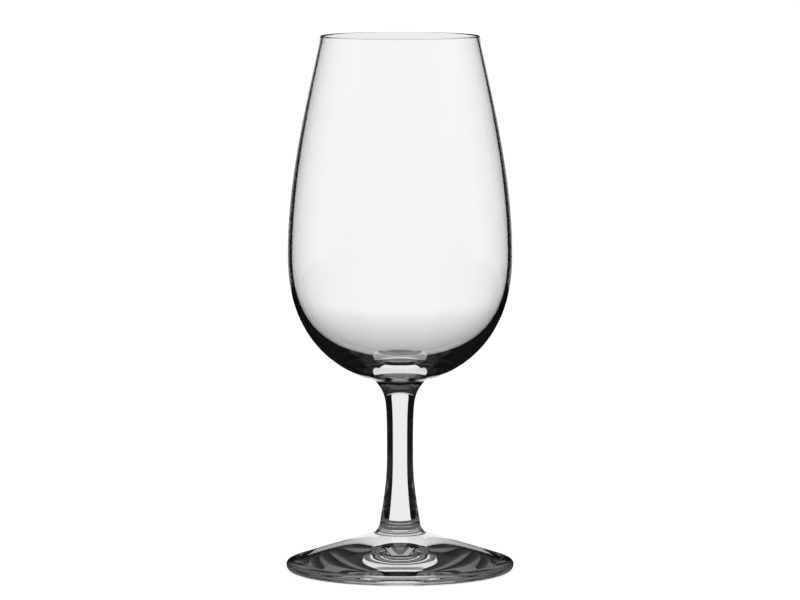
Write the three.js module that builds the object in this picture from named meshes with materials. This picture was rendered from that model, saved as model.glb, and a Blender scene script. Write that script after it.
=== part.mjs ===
// Wine-tasting glass: a blown bowl on a drawn stem on a round foot, three pieces of clear glass fused hot.
// Millimetres, +Z up. The origin is on the axis, in the plane that the foot stands on.

import * as THREE from 'three';

// Foot
const footDiameter = 66;
const footHeight = 13.7;          // from the table to the joint with the stem
const footEdgeLowerRadius = 1.65; // rounding from the resting ring out to the rim of the foot
const footEdgeUpperRadius = 1.2;  // rounding from the rim of the foot in to its cone
const footHubDrop = 2.4;          // how far the stem's taper is carried down into the hub
const footHubFlare = 2;           // how far the hub's flare runs out along the cone
const restingRingWidth = 3;       // flat ring that touches the table
const footHollowDepth = 3.2;      // hollow inside the ring, up under the hub
const footHollowCrown = 12;       // how far the hollow's top runs level before it bends down to the ring

// Stem
const stemLength = 41.6;
const stemFootDiameter = 11.7;    // at the joint with the foot
const stemWaistDiameter = 7.6;
const stemWaistRise = 21.6;       // height of the waist above the joint with the foot
const stemButtonDiameter = 14.7;  // at the joint with the bowl
const stemFootTaper = 9;          // degrees from upright, at the foot
const stemButtonFlare = 37.5;     // degrees from upright, at the bowl
const stemFootTaperLength = 11.6; // how far the curve follows each of its ends' directions
const stemWaistLengthBelow = 8.2;
const stemWaistLengthAbove = 16;
const stemButtonFlareLength = 5.2;

// Bowl
const bowlHeight = 99.7;          // from the joint with the stem to the lip
const mouthDiameter = 46;
const bellyDiameter = 65;
const bellyRise = 36.2;           // height of the widest place above the joint with the stem
const lipThickness = 0.85;
const bellyWall = 1.3;
const bowlBaseThickness = 4.4;    // solid glass on the axis, under the wine
const mouthTaper = 12;            // degrees from upright, at the lip
const bowlUnderslope = 15;        // degrees from level, where the bowl leaves the joint
const bowlUnderslopeLength = 14;
const bellyLengthBelow = 21.6;
const bellyLengthAbove = 22.3;
const mouthTaperLength = 18.9;
const hollowFloorLength = 19;     // the round bottom of the bowl's inside
const hollowSideLength = 21.5;

// Facets
const facetCount = 48;
const curveStepCount = 12;
const cornerStepCount = 6;
const samePointDistance = 1e-6;   // points of an outline closer than this are one point

const at = (radius, height) => new THREE.Vector2(radius, height);

// A point moved by a length in a direction, in degrees from level: 0 is outward, 90 is up.
function towards(point, degrees, length) {
  const angle = THREE.MathUtils.degToRad(degrees);
  return at(point.x + length * Math.cos(angle), point.y + length * Math.sin(angle));
}

// A smooth line that leaves one point and arrives at the next by way of a guide beside each.
function sweep(from, fromGuide, toGuide, to, steps) {
  return new THREE.CubicBezierCurve(from, fromGuide, toGuide, to).getPoints(steps);
}

// A line bent once, by way of one guide between its ends.
function bow(from, guide, to, steps) {
  return new THREE.QuadraticBezierCurve(from, guide, to).getPoints(steps);
}

// A rounded corner on a centre, between two directions in degrees.
function round(centre, radius, fromDegrees, toDegrees, steps) {
  const points = [];
  for (let step = 0; step <= steps; step += 1) {
    const degrees = THREE.MathUtils.lerp(fromDegrees, toDegrees, step / steps);
    points.push(towards(centre, degrees, radius));
  }
  return points;
}

// The outline is turned about the axis, from its lowest point on the axis out and up to its highest.
function turned(outline) {
  const distinct = outline.filter((point, index) => {
    const before = outline[index - 1];
    return !before || point.distanceTo(before) > samePointDistance;
  });
  const geometry = new THREE.LatheGeometry(distinct, facetCount);
  geometry.rotateX(Math.PI / 2);
  return geometry;
}

function clearGlass() {
  return new THREE.MeshStandardMaterial({ color: 0xe9f2ef, roughness: 0.02, metalness: 0 });
}

function piece(name, outline) {
  const mesh = new THREE.Mesh(turned(outline), clearGlass());
  mesh.name = name;
  return mesh;
}

// Joints: the flat faces where the pieces are fused
const stemFootRadius = stemFootDiameter / 2;
const stemButtonRadius = stemButtonDiameter / 2;
const hubTop = at(stemFootRadius, footHeight);
const buttonTop = at(stemButtonRadius, footHeight + stemLength);

// Foot: hollow, resting ring, rounded edge, cone and hub
function footOutline() {
  const ringOuterRadius = footDiameter / 2 - footEdgeLowerRadius;
  const ringInnerRadius = ringOuterRadius - restingRingWidth;
  const hollowTop = at(0, footHollowDepth);
  const hollowEdge = at(ringInnerRadius, 0);
  const hollowGuide = at(footHollowCrown, footHollowDepth);
  const hollow = bow(hollowTop, hollowGuide, hollowEdge, curveStepCount);

  const lowerCentre = at(ringOuterRadius, footEdgeLowerRadius);
  const lowerEdge = round(lowerCentre, footEdgeLowerRadius, -90, 0, cornerStepCount);

  // The cone is the straight line from the end of the hub's flare to the edge's upper rounding.
  const hubEnd = towards(hubTop, stemFootTaper - 90, footHubDrop);
  const upperCentre = at(footDiameter / 2 - footEdgeUpperRadius, footEdgeLowerRadius);
  const toHub = hubEnd.clone().sub(upperCentre);
  const touch = THREE.MathUtils.radToDeg(toHub.angle() - Math.acos(footEdgeUpperRadius / toHub.length()));
  const upperEdge = round(upperCentre, footEdgeUpperRadius, 0, touch, cornerStepCount);

  const hubStart = towards(hubEnd, touch - 90, footHubFlare);
  const hub = bow(hubStart, hubEnd, hubTop, cornerStepCount);

  return [...hollow, ...lowerEdge, ...upperEdge, ...hub, at(0, hubTop.y)];
}

// Stem: long taper up from the foot, waist, flare into the button
function stemOutline() {
  const waist = at(stemWaistDiameter / 2, hubTop.y + stemWaistRise);
  const taper = sweep(
    hubTop,
    towards(hubTop, 90 + stemFootTaper, stemFootTaperLength),
    towards(waist, -90, stemWaistLengthBelow),
    waist,
    curveStepCount,
  );
  const flare = sweep(
    waist,
    towards(waist, 90, stemWaistLengthAbove),
    towards(buttonTop, -90 - stemButtonFlare, stemButtonFlareLength),
    buttonTop,
    curveStepCount,
  );
  return [at(0, hubTop.y), ...taper, ...flare, at(0, buttonTop.y)];
}

// Bowl: thick base, round belly, narrowing mouth, rounded lip, and the inside back down to its floor
function bowlOutline() {
  const lipRadius = lipThickness / 2;
  const lipHeight = buttonTop.y + bowlHeight - lipRadius;
  const bellyHeight = buttonTop.y + bellyRise;
  const belly = at(bellyDiameter / 2, bellyHeight);
  const lipOutside = at(mouthDiameter / 2, lipHeight);
  const lipInside = at(mouthDiameter / 2 - lipThickness, lipHeight);
  const bellyInside = at(bellyDiameter / 2 - bellyWall, bellyHeight);
  const floor = at(0, buttonTop.y + bowlBaseThickness);

  const underside = sweep(
    buttonTop,
    towards(buttonTop, bowlUnderslope, bowlUnderslopeLength),
    towards(belly, -90, bellyLengthBelow),
    belly,
    curveStepCount,
  );
  const outside = sweep(
    belly,
    towards(belly, 90, bellyLengthAbove),
    towards(lipOutside, mouthTaper - 90, mouthTaperLength),
    lipOutside,
    curveStepCount,
  );
  const lip = round(at(mouthDiameter / 2 - lipRadius, lipHeight), lipRadius, 0, 180, cornerStepCount);
  const inside = sweep(
    lipInside,
    towards(lipInside, mouthTaper - 90, mouthTaperLength),
    towards(bellyInside, 90, bellyLengthAbove),
    bellyInside,
    curveStepCount,
  );
  const hollow = sweep(
    bellyInside,
    towards(bellyInside, -90, hollowSideLength),
    towards(floor, 0, hollowFloorLength),
    floor,
    curveStepCount,
  );
  return [at(0, buttonTop.y), ...underside, ...outside, ...lip, ...inside, ...hollow];
}

const glass = new THREE.Group();
glass.add(piece('foot', footOutline()));
glass.add(piece('stem', stemOutline()));
glass.add(piece('bowl', bowlOutline()));

export default glass;
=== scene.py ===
import math

import bmesh
import bpy
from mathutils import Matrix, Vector


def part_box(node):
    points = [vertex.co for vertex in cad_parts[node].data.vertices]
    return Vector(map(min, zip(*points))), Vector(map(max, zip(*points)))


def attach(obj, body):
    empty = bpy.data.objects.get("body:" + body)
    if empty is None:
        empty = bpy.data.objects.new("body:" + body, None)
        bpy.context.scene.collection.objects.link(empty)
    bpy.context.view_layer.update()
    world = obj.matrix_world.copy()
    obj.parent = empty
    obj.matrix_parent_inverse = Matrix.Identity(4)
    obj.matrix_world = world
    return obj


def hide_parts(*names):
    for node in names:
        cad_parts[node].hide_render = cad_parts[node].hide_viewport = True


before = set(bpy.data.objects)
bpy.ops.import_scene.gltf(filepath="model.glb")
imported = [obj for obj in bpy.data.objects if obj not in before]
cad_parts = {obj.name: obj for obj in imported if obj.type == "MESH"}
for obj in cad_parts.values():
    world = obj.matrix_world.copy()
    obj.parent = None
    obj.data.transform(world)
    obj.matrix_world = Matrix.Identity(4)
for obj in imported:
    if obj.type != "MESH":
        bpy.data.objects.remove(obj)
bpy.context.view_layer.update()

# Foot
# The round foot is clear soda-lime glass, pressed hot round the end of the stem. A hub under the stem runs
# out into a shallow cone with a fire-polished edge, and underneath a flat ring stands round a hollow.
scene = bpy.context.scene
mm = 0.001
turn_steps = 256
curve_steps = 72
corner_steps = 16
same_point = 1e-7
same_height = 1e-6
outward = 0
up = 90
inward = 180
down = -90

_, foot_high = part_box("foot")
foot_radius = foot_high.x
foot_height = foot_high.z
foot_edge_lower_radius = 1.65 * mm
foot_edge_upper_radius = 1.2 * mm
foot_hub_drop = 2.4 * mm
foot_hub_flare = 2.0 * mm
resting_ring_width = 3.0 * mm
foot_hollow_depth = 3.2 * mm
foot_hollow_crown = 12.0 * mm
stem_foot_radius = 5.85 * mm
stem_foot_taper = 9.0


def towards(point, degrees, length):
    """A point of an outline (radius, height) moved by a length in a direction in degrees."""
    angle = math.radians(degrees)
    return point + Vector((math.cos(angle), math.sin(angle))) * length


def sweep(start, start_guide, end_guide, end):
    """A smooth line that leaves one point and reaches the next by way of a guide beside each."""
    points = []
    for step in range(curve_steps + 1):
        t = step / curve_steps
        s = 1 - t
        points.append(s**3 * start + 3 * s * s * t * start_guide + 3 * s * t * t * end_guide + t**3 * end)
    return points


def bow(start, guide, end):
    """A line bent once, towards a guide: a sweep whose own guides lie two thirds of the way there."""
    two_thirds = 2 / 3
    return sweep(start, start.lerp(guide, two_thirds), end.lerp(guide, two_thirds), end)


def rounded(centre, radius, from_degrees, to_degrees):
    """A rounded corner on a centre, between two directions."""
    turn = (to_degrees - from_degrees) / corner_steps
    return [towards(centre, from_degrees + turn * step, radius) for step in range(corner_steps + 1)]


def placed(name, data):
    """A new object in the scene."""
    obj = bpy.data.objects.new(name, data)
    scene.collection.objects.link(obj)
    return obj


def turned(name, outline, joint_heights):
    """A closed piece turned about the axis from an outline that starts and ends on the axis.
    Flat faces at the given heights are hot joints and take the second material."""
    points = [outline[0]]
    for point in outline[1:]:
        if (point - points[-1]).length > same_point:
            points.append(point)
    piece = bmesh.new()
    rings = []
    for radius, height in points:
        if radius < same_point:
            rings.append([piece.verts.new((0, 0, height))] * turn_steps)
            continue
        ring = []
        for step in range(turn_steps):
            angle = math.tau * step / turn_steps
            ring.append(piece.verts.new((radius * math.cos(angle), radius * math.sin(angle), height)))
        rings.append(ring)
    for lower, upper in zip(rings, rings[1:]):
        for step in range(turn_steps):
            after = (step + 1) % turn_steps
            corners = [lower[step], lower[after], upper[after], upper[step]]
            face = piece.faces.new(list(dict.fromkeys(corners)))
            heights = [corner.co.z for corner in corners]
            flat = max(heights) - min(heights) < same_point
            joint = flat and any(abs(heights[0] - height) < same_height for height in joint_heights)
            face.smooth = not joint
            face.material_index = int(joint)
    bmesh.ops.recalc_face_normals(piece, faces=piece.faces)
    for edge in piece.edges:
        materials = {face.material_index for face in edge.link_faces}
        edge.smooth = len(materials) == 1
    mesh = bpy.data.meshes.new(name)
    piece.to_mesh(mesh)
    piece.free()
    return placed(name, mesh)


def add_node(tree, kind, sockets=None, **settings):
    """A shader node with its settings. A socket is linked to another node's output or set to a value."""
    node = tree.nodes.new(kind)
    for setting, value in settings.items():
        setattr(node, setting, value)
    for socket, value in (sockets or {}).items():
        if isinstance(value, bpy.types.NodeSocket):
            tree.links.new(value, node.inputs[socket])
        else:
            node.inputs[socket].default_value = value
    return node


def ramp(tree, value, start, end, start_level, end_level, rise="LINEAR"):
    """A level that runs from one to another while a value runs from its start to its end."""
    sockets = {"Value": value, "From Min": start, "From Max": end, "To Min": start_level, "To Max": end_level}
    return add_node(tree, "ShaderNodeMapRange", sockets, interpolation_type=rise).outputs["Result"]


glass_index = 1.52
glass_cast = (0.97, 0.985, 0.98, 1)
glass_clear = (0.99, 0.995, 0.99, 1)
ripple_detail = 1
dullest_polish = 0.012


def hot_worked_group():
    """What the fire and the tools leave in clear glass: slow ripples, and a cast that is never quite even."""
    group = bpy.data.node_groups.new("hot_worked_glass", "ShaderNodeTree")
    inputs = {"Cast": "Color", "Clear": "Color", "Ripples per metre": "Float", "Stretch": "Float"}
    outputs = {"Color": "Color", "Ripple": "Float", "Roughness": "Float"}
    for way, sockets in (("INPUT", inputs), ("OUTPUT", outputs)):
        for name, kind in sockets.items():
            group.interface.new_socket(name, in_out=way, socket_type=f"NodeSocket{kind}")
    given = add_node(group, "NodeGroupInput").outputs
    place = add_node(group, "ShaderNodeTexCoord").outputs["Object"]
    axes = {"X": 1, "Y": 1, "Z": given["Stretch"]}
    stretch = add_node(group, "ShaderNodeCombineXYZ", axes).outputs["Vector"]
    drawn = add_node(group, "ShaderNodeVectorMath", {0: place, 1: stretch}, operation="MULTIPLY").outputs
    waves = {"Vector": drawn["Vector"], "Scale": given["Ripples per metre"], "Detail": ripple_detail}
    ripple = add_node(group, "ShaderNodeTexNoise", waves).outputs["Fac"]
    casts = {"Factor": ripple, "A": given["Cast"], "B": given["Clear"]}
    tint = add_node(group, "ShaderNodeMix", casts, data_type="RGBA").outputs["Result"]
    polish = ramp(group, ripple, 0, 1, 0, dullest_polish)
    add_node(group, "NodeGroupOutput", {"Color": tint, "Ripple": ripple, "Roughness": polish})
    return group


hot_worked = hot_worked_group()


def clear_glass(name, ripples, stretch, ripple_height):
    """Clear glass with the marks of its making: so many ripples to a metre, drawn out along the axis by a
    stretch below 1, and the height of a ripple."""
    material = bpy.data.materials.new(name)
    material.use_nodes = True
    tree = material.node_tree
    marks = {"Cast": glass_cast, "Clear": glass_clear, "Ripples per metre": ripples, "Stretch": stretch}
    worked = add_node(tree, "ShaderNodeGroup", marks, node_tree=hot_worked).outputs
    bump = add_node(tree, "ShaderNodeBump", {"Height": worked["Ripple"], "Distance": ripple_height})
    shader = tree.nodes["Principled BSDF"]
    shader.inputs["Transmission Weight"].default_value = 1
    shader.inputs["IOR"].default_value = glass_index
    tree.links.new(worked["Color"], shader.inputs["Base Color"])
    tree.links.new(worked["Roughness"], shader.inputs["Roughness"])
    tree.links.new(bump.outputs["Normal"], shader.inputs["Normal"])
    return material


def bare_material(name):
    """A material with no nodes yet."""
    material = bpy.data.materials.new(name)
    material.use_nodes = True
    material.node_tree.nodes.clear()
    return material


def fused_joint():
    """The hot joint inside the glass, where nothing shows because glass runs straight into glass."""
    material = bare_material("fused_joint")
    tree = material.node_tree
    through = add_node(tree, "ShaderNodeBsdfTransparent").outputs["BSDF"]
    add_node(tree, "ShaderNodeOutputMaterial", {"Surface": through})
    return material


joint_glass = fused_joint()


def add_piece(obj, node, glass):
    """Dresses a piece in its glass and puts it in the frame in place of its plain solid."""
    obj.data.materials.append(glass)
    obj.data.materials.append(joint_glass)
    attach(obj, "root")
    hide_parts(node)


hub_top = Vector((stem_foot_radius, foot_height))
ring_outer = foot_radius - foot_edge_lower_radius
ring_inner = ring_outer - resting_ring_width
hollow = bow(
    Vector((0, foot_hollow_depth)),
    Vector((foot_hollow_crown, foot_hollow_depth)),
    Vector((ring_inner, 0)),
)
lower_centre = Vector((ring_outer, foot_edge_lower_radius))
lower_edge = rounded(lower_centre, foot_edge_lower_radius, down, outward)
hub_end = towards(hub_top, down + stem_foot_taper, foot_hub_drop)
upper_centre = Vector((foot_radius - foot_edge_upper_radius, foot_edge_lower_radius))
to_hub = hub_end - upper_centre
cone_touch = math.degrees(math.atan2(to_hub.y, to_hub.x) - math.acos(foot_edge_upper_radius / to_hub.length))
upper_edge = rounded(upper_centre, foot_edge_upper_radius, outward, cone_touch)
hub_start = towards(hub_end, down + cone_touch, foot_hub_flare)
cone = [upper_edge[-1].lerp(hub_start, step / corner_steps) for step in range(corner_steps + 1)]
hub = bow(hub_start, hub_end, hub_top)
foot_outline = [*hollow, *lower_edge, *upper_edge, *cone, *hub, Vector((0, foot_height))]
foot = turned("foot_glass", foot_outline, [foot_height])

foot_ripples = 70
foot_ripple_stretch = 1
foot_ripple_height = 0.002 * mm
foot_clear_glass = clear_glass("foot_clear_glass", foot_ripples, foot_ripple_stretch, foot_ripple_height)
add_piece(foot, "foot", foot_clear_glass)

# Stem
# The stem is solid glass drawn out of the bowl's base while soft, so it is thinnest near its middle and
# flares into a small button under the bowl. It is fused to the bowl above and to the foot below.
stem_low, stem_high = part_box("stem")
stem_waist_radius = 3.8 * mm
stem_waist_rise = 21.6 * mm
stem_foot_taper_length = 11.6 * mm
stem_waist_length_below = 8.2 * mm
stem_waist_length_above = 16.0 * mm
stem_button_radius = 7.35 * mm
stem_button_flare = 37.5
stem_button_flare_length = 5.2 * mm

button_top = Vector((stem_button_radius, stem_high.z))
stem_waist = Vector((stem_waist_radius, stem_low.z + stem_waist_rise))
taper = sweep(
    hub_top,
    towards(hub_top, up + stem_foot_taper, stem_foot_taper_length),
    towards(stem_waist, down, stem_waist_length_below),
    stem_waist,
)
flare = sweep(
    stem_waist,
    towards(stem_waist, up, stem_waist_length_above),
    towards(button_top, down - stem_button_flare, stem_button_flare_length),
    button_top,
)
stem_outline = [Vector((0, stem_low.z)), *taper, *flare, Vector((0, stem_high.z))]
stem = turned("stem_glass", stem_outline, [stem_low.z, stem_high.z])

stem_ripples = 160
stem_ripple_stretch = 0.15
stem_ripple_height = 0.001 * mm
stem_clear_glass = clear_glass("stem_clear_glass", stem_ripples, stem_ripple_stretch, stem_ripple_height)
add_piece(stem, "stem", stem_clear_glass)

# Bowl
# The bowl is blown into a mould: thin at the fire-polished lip, thicker towards the bottom, and solid under
# the wine. It narrows to the mouth to hold the aroma, and its base is fused to the button of the stem.
bowl_low, bowl_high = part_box("bowl")
belly_radius = bowl_high.x
belly_rise = 36.2 * mm
mouth_radius = 23.0 * mm
lip_thickness = 0.85 * mm
belly_wall = 1.3 * mm
bowl_base_thickness = 4.4 * mm
mouth_taper = 12.0
mouth_taper_length = 18.9 * mm
bowl_underslope = 15.0
bowl_underslope_length = 14.0 * mm
belly_length_below = 21.6 * mm
belly_length_above = 22.3 * mm
hollow_side_length = 21.5 * mm
hollow_floor_length = 19.0 * mm

lip_radius = lip_thickness / 2
lip_height = bowl_high.z - lip_radius
belly = Vector((belly_radius, bowl_low.z + belly_rise))
belly_inside = belly - Vector((belly_wall, 0))
lip_outside = Vector((mouth_radius, lip_height))
lip_inside = lip_outside - Vector((lip_thickness, 0))
wine_floor = Vector((0, bowl_low.z + bowl_base_thickness))
underside = sweep(
    button_top,
    towards(button_top, bowl_underslope, bowl_underslope_length),
    towards(belly, down, belly_length_below),
    belly,
)
outside = sweep(
    belly,
    towards(belly, up, belly_length_above),
    towards(lip_outside, down + mouth_taper, mouth_taper_length),
    lip_outside,
)
lip = rounded(Vector((mouth_radius - lip_radius, lip_height)), lip_radius, outward, inward)
inside = sweep(
    lip_inside,
    towards(lip_inside, down + mouth_taper, mouth_taper_length),
    towards(belly_inside, up, belly_length_above),
    belly_inside,
)
bottom = sweep(
    belly_inside,
    towards(belly_inside, down, hollow_side_length),
    towards(wine_floor, outward, hollow_floor_length),
    wine_floor,
)
bowl_outline = [Vector((0, bowl_low.z)), *underside, *outside, *lip, *inside, *bottom]
bowl = turned("bowl_glass", bowl_outline, [bowl_low.z])

bowl_ripples = 60
bowl_ripple_stretch = 0.4
bowl_ripple_height = 0.001 * mm
bowl_clear_glass = clear_glass("bowl_clear_glass", bowl_ripples, bowl_ripple_stretch, bowl_ripple_height)
add_piece(bowl, "bowl", bowl_clear_glass)

# Table
# The glass stands on a plain matt white table, which the camera sees white but for a faint shadow. The glass
# shows it with painted shade: dark under the foot and whiter further off, and fainter where the glass mirrors
# it.


def sheet(name, corners, material):
    """A flat sheet of the set through its corners, in metres."""
    mesh = bpy.data.meshes.new(name)
    mesh.from_pydata(corners, [], [range(len(corners))])
    mesh.materials.append(material)
    obj = placed(name, mesh)
    return obj


def worked_out(tree, operation, *values):
    """What a sum or a test makes of its values. A test gives 1 where it holds and 0 where it doesn't."""
    return add_node(tree, "ShaderNodeMath", dict(enumerate(values)), operation=operation).outputs["Value"]


table_reach = 10.0
table_drop = 0.05 * mm
table_colour = (0.82, 0.82, 0.82, 1)
table_glow = 0.82
# Painted shade: where the glass shows the table, the table is darkened to this share under and close round
# the foot.
painted_foot_shade = 0.35
foot_shade_start = 40 * mm
foot_shade_end = 51 * mm
# Painted shade: where the glass shows the table, the table is darker near the glass and lighter further off.
table_level_near = 0.6
table_level_far = 1.1
table_near = 60 * mm
table_far = 430 * mm
# Painted shade in the reflections: mirrored light finds the table in front dimmed to this level, and dimmer
# again if mirrored only once.
table_level_front = 0.15
front_start = 0 * mm
front_end = -300 * mm
mirrored_shade = 0.5
# The faces that light passes, and its mirrorings, are whole counts, so a test on one is set half a count off.
half_count = 0.5


def white_table():
    """Matt white, with a glow that the camera alone sees. Where the glass shows the table, its level goes by
    the distance from the axis, as painted shade under the foot and near the glass. Mirrored light finds it
    dimmer in front, and dimmer if mirrored only once, as painted shade in the reflections."""
    material = bare_material("white_table")
    tree = material.node_tree
    path = add_node(tree, "ShaderNodeLightPath").outputs

    matt = add_node(tree, "ShaderNodeBsdfDiffuse", {"Color": table_colour}).outputs["BSDF"]
    glow = worked_out(tree, "MULTIPLY", path["Is Camera Ray"], table_glow)
    white = add_node(tree, "ShaderNodeEmission", {"Strength": glow}).outputs["Emission"]
    beside_glass = add_node(tree, "ShaderNodeAddShader", {0: matt, 1: white}).outputs["Shader"]

    place = add_node(tree, "ShaderNodeTexCoord").outputs["Object"]
    from_axis = add_node(tree, "ShaderNodeVectorMath", {0: place}, operation="LENGTH").outputs["Value"]
    # Painted shade under and round the foot, and a table that is darker near the glass and lighter further
    # off.
    shade = ramp(tree, from_axis, foot_shade_start, foot_shade_end, painted_foot_shade, 1, "SMOOTHSTEP")
    whiter = ramp(tree, from_axis, table_near, table_far, table_level_near, table_level_far)
    level = worked_out(tree, "MULTIPLY", shade, whiter)

    # Painted shade in the reflections: the table is darker in front, and dimmer still if mirrored only once.
    behind = add_node(tree, "ShaderNodeSeparateXYZ", {"Vector": place}).outputs["Y"]
    front = ramp(tree, behind, front_end, front_start, table_level_front, 1, "SMOOTHSTEP")
    unmirrored = worked_out(tree, "LESS_THAN", path["Glossy Depth"], half_count)
    painted_front_shade = worked_out(tree, "MAXIMUM", unmirrored, front)
    level = worked_out(tree, "MULTIPLY", level, painted_front_shade)
    mirrored_once = worked_out(tree, "COMPARE", path["Glossy Depth"], 1, half_count)
    fainter = ramp(tree, mirrored_once, 0, 1, 1, mirrored_shade)
    level = worked_out(tree, "MULTIPLY", level, fainter)
    in_glass = add_node(tree, "ShaderNodeEmission", {"Strength": level}).outputs["Emission"]

    by_glass = worked_out(tree, "MAXIMUM", path["Is Glossy Ray"], path["Is Transmission Ray"])
    shown = add_node(tree, "ShaderNodeMixShader", {"Fac": by_glass, 1: beside_glass, 2: in_glass})
    add_node(tree, "ShaderNodeOutputMaterial", {"Surface": shown.outputs["Shader"]})
    return material


table_corners = [(-1, -1), (1, -1), (1, 1), (-1, 1)]
sheet("table", [(x * table_reach, y * table_reach, -table_drop) for x, y in table_corners], white_table())

# Cards
# A white runner lies behind the glass and stands up at its far end, and a white box hangs over the front, to
# light the solid glass. Black mats and screens on both sides, and a card behind the lip, draw the dark edges.
wall_faces = 2
faces_through_bowl = 2 * wall_faces
any_light = 0
mirrored_light = 1


def shown_by_solid_glass(name, level, least_mirrored):
    """A card of even brightness. It is clear to light that went right through the hollow bowl, and to light
    that the glass mirrored fewer times than the least."""
    material = bare_material(name)
    tree = material.node_tree
    path = add_node(tree, "ShaderNodeLightPath").outputs
    solid = worked_out(tree, "LESS_THAN", path["Transmission Depth"], faces_through_bowl - half_count)
    mirrored = worked_out(tree, "GREATER_THAN", path["Glossy Depth"], least_mirrored - half_count)
    both = worked_out(tree, "MULTIPLY", solid, mirrored)
    clear = add_node(tree, "ShaderNodeBsdfTransparent").outputs["BSDF"]
    light = add_node(tree, "ShaderNodeEmission", {"Color": (level, level, level, 1)}).outputs["Emission"]
    shown = add_node(tree, "ShaderNodeMixShader", {"Fac": both, 1: clear, 2: light})
    add_node(tree, "ShaderNodeOutputMaterial", {"Surface": shown.outputs["Shader"]})
    return material


def card(name, corners, material):
    """A card through its corners, in millimetres, that only the glass shows. It throws no shadow."""
    obj = sheet(name, [tuple(length * mm for length in corner) for corner in corners], material)
    obj.visible_camera = False
    obj.visible_diffuse = False
    obj.visible_shadow = False


def lay_card(name, outline, height, material):
    """A card that lies level at a height above the table."""
    card(name, [(x, y, height) for x, y in outline], material)


def stand_card(name, start, end, top, material, bottom=0):
    """A card that stands upright between two places, from the table up or from a bottom of its own."""
    card(name, [(*start, bottom), (*end, bottom), (*end, top), (*start, top)], material)


front_box_level = 0.5
front_box_height = 1000
front_box_outline = [(-640, -1410), (640, -1410), (640, -700), (-640, -700)]
front_box_white = shown_by_solid_glass("front_box_white", front_box_level, any_light)
lay_card("front_box", front_box_outline, front_box_height, front_box_white)

runner_level = 0.92
runner_height = 0.3
runner_outline = [(-15.6, 36), (-278, 640), (278, 640), (15.6, 36)]
runner_back_start = (-279, 638)
runner_back_end = (279, 638)
runner_back_top = 420
runner_white = shown_by_solid_glass("white_runner", runner_level, any_light)
lay_card("runner", runner_outline, runner_height, runner_white)
stand_card("runner_back", runner_back_start, runner_back_end, runner_back_top, runner_white)

black_level = 0.005
card_black = shown_by_solid_glass("black_card", black_level, any_light)
mirrored_black = shown_by_solid_glass("mirrored_black", black_level, mirrored_light)

runner_cover_height = 0.9
runner_cover_outline = [(-34, 34), (-44, 88), (44, 88), (34, 34)]
lay_card("runner_cover", runner_cover_outline, runner_cover_height, mirrored_black)

low_screen_places = [(17.5, 45), (48, 40), (55, 8)]
low_screen_top = 75
tall_screen_places = [(48, 80), (56, 4), (36, -52)]
side_screen_top = 180
front_screen_top = 135
mat_height = 0.3
mat_outline = [(16.7, 37.6), (4000, 9200), (9400, 3400), (38.6, 13.9)]
near_mat_height = 0.6
near_mat_outline = [(14.5, 37), *low_screen_places, (39, 6), (34, 20)]


def on_side(side, places):
    """Places given for the right side, on the right (1) or the left (-1)."""
    return [(side * x, y) for x, y in places]


for side, name in ((-1, "left"), (1, "right")):
    lay_card(f"{name}_mat", on_side(side, mat_outline), mat_height, mirrored_black)
    lay_card(f"{name}_near_mat", on_side(side, near_mat_outline), near_mat_height, card_black)
    back, middle, front = on_side(side, low_screen_places)
    stand_card(f"{name}_low_screen", back, middle, low_screen_top, card_black)
    stand_card(f"{name}_low_side_screen", middle, front, low_screen_top, card_black)
    back, middle, front = on_side(side, tall_screen_places)
    stand_card(f"{name}_side_screen", back, middle, side_screen_top, mirrored_black)
    stand_card(f"{name}_front_screen", middle, front, front_screen_top, mirrored_black)

rim_card_start = (-40, 80)
rim_card_end = (40, 80)
rim_card_bottom = 151.5
rim_card_top = 190
stand_card("rim_card", rim_card_start, rim_card_end, rim_card_top, card_black, rim_card_bottom)

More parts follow.
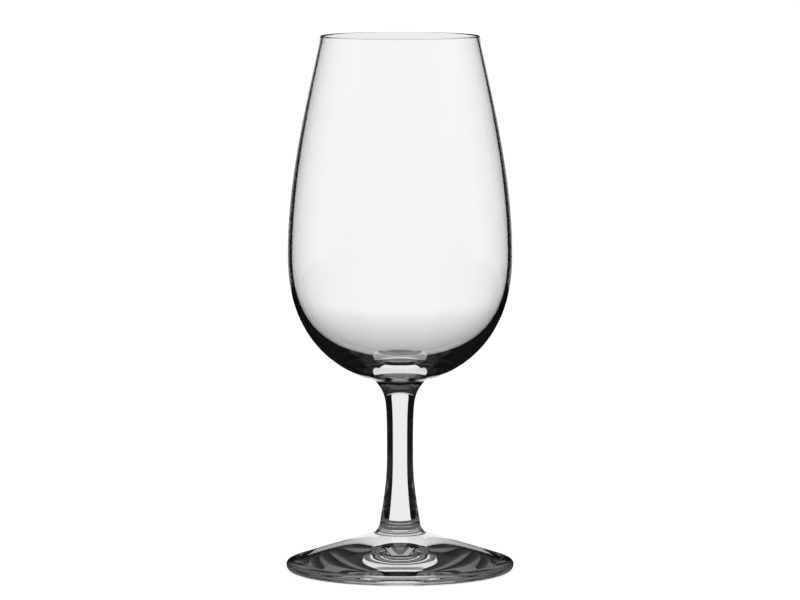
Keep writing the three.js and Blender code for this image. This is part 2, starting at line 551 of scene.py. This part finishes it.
# Room
# The room is dark, so that solid glass and the glass's reflections have black to show. The camera, and light
# that went through the hollow bowl without being mirrored, meet white paper all round instead.
room_dark = (0.02, 0.02, 0.02, 1)
paper_white = (1, 1, 1, 1)
world = bpy.data.worlds.new("dark_room")
world.use_nodes = True
scene.world = world
tree = world.node_tree
tree.nodes.clear()
path = add_node(tree, "ShaderNodeLightPath").outputs
through_bowl = worked_out(tree, "GREATER_THAN", path["Transmission Depth"], faces_through_bowl - half_count)
straight = worked_out(tree, "GREATER_THAN", through_bowl, path["Glossy Depth"])
white = worked_out(tree, "MAXIMUM", path["Is Camera Ray"], straight)
dark = add_node(tree, "ShaderNodeBackground", {"Color": room_dark}).outputs["Background"]
paper = add_node(tree, "ShaderNodeBackground", {"Color": paper_white}).outputs["Background"]
surroundings = add_node(tree, "ShaderNodeMixShader", {"Fac": white, 1: dark, 2: paper})
add_node(tree, "ShaderNodeOutputWorld", {"Surface": surroundings.outputs["Shader"]})

# Light
# One very broad soft lamp overhead lights the table evenly, and leaves only a faint shadow round the foot.
# The glass doesn't show the lamp.
lamp_spread = 120
lamp_strength = 1.0
lamp_data = bpy.data.lights.new("overhead_lamp", "SUN")
lamp_data.angle = math.radians(lamp_spread)
lamp_data.energy = lamp_strength
lamp = placed("overhead_lamp", lamp_data)
lamp.visible_glossy = False
lamp.visible_transmission = False

# Camera
# A long lens one and a half metres away, a little above the lip, looks down at the middle of the glass. Light
# may bounce often enough to leave the thick base again.
image_width = 800
focal_pixels = 5152.6
sensor_width = 36
nearest_seen = 10 * mm
camera_distance = 1481.7 * mm
camera_height = 225.7 * mm
level_view = 90
camera_dip = 5.67
bounces = 32
camera_data = bpy.data.cameras.new("camera")
camera_data.sensor_width = sensor_width
camera_data.lens = sensor_width * focal_pixels / image_width
camera_data.clip_start = nearest_seen
camera = placed("camera", camera_data)
camera.location = (0, -camera_distance, camera_height)
camera.rotation_euler = (math.radians(level_view - camera_dip), 0, 0)
scene.camera = camera

scene.cycles.max_bounces = bounces
scene.cycles.transmission_bounces = bounces
scene.cycles.glossy_bounces = bounces
scene.cycles.transparent_max_bounces = bounces
scene.view_settings.view_transform = "Standard"
